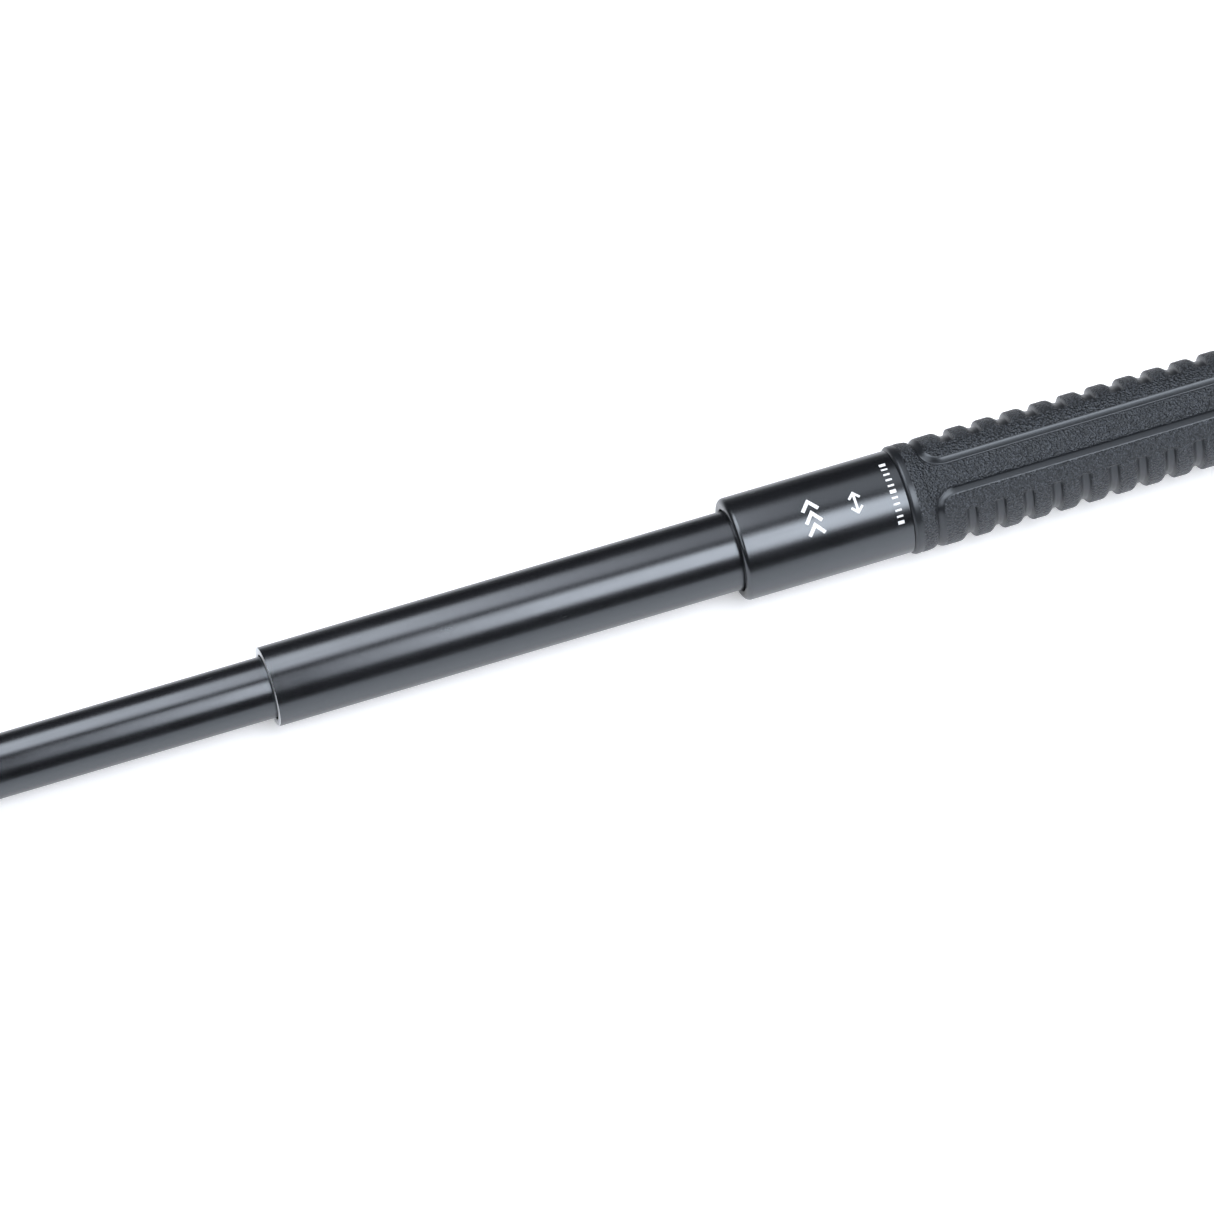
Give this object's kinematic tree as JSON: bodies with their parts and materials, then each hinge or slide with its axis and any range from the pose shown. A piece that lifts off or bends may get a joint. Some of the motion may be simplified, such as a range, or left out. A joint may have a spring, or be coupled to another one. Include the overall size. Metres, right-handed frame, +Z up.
{
  "type": "telescopic baton",
  "caption": "Black friction-lock telescopic baton with steel tubes that slide into a rubber-gripped handle, a knob at the tip and a screw-in tail cap with a retaining clip.",
  "frame": {"origin": "under the middle of the extended baton's length, on the surface it lies on", "axes": "+X runs along the baton from the tip knob towards the tail cap, +Z is up, and +Y completes the right-handed set"},
  "size_m": [0.432, 0.032, 0.032],
  "materials": {
    "black_steel": "satin black coating with a fine grain",
    "grip_rubber": "matte, fine pebble texture with smooth slots",
    "black_cap": "black anodised, satin",
    "disc_plastic": "matte",
    "seal_rubber": "smooth, slightly greased",
    "spring_steel": "tempered and bare",
    "zinc_steel": "zinc plated"
  },
  "bodies": {
    "handle": {"handle_tube": "black_steel", "grip_sleeve": "grip_rubber"},
    "middle": {"middle_tube": "black_steel"},
    "tip": {"tip_tube": "black_steel", "tip_knob": "black_steel"},
    "cap_ring": {"cap_o_ring": "seal_rubber"},
    "cap": {"tail_cap": "black_cap", "cap_end_disc": "disc_plastic", "buffer_ring": "seal_rubber", "retaining_clip": "spring_steel", "clip_lock_washer": "zinc_steel", "clip_screw": "zinc_steel"}
  },
  "joints": [
    {"name": "middle_slide", "type": "slide", "parent": "handle", "child": "middle", "axis": [1, 0, 0], "range_m": [0, 0.1185]},
    {"name": "tip_slide", "type": "slide", "parent": "middle", "child": "tip", "axis": [1, 0, 0], "range_m": [0, 0.122]},
    {"name": "cap_back_off", "type": "slide", "parent": "handle", "child": "cap_ring", "axis": [1, 0, 0], "range_m": [0, 0.01]},
    {"name": "cap_unscrew", "type": "hinge", "parent": "cap_ring", "child": "cap", "pos_m": [0.216, 0, 0.016], "axis": [1, 0, 0], "range_deg": [0, 3600]}
  ],
  "couplings": [
    {"joint": "cap_back_off", "follows": "cap_unscrew", "m_per_rad": 0.00015915}
  ]
}
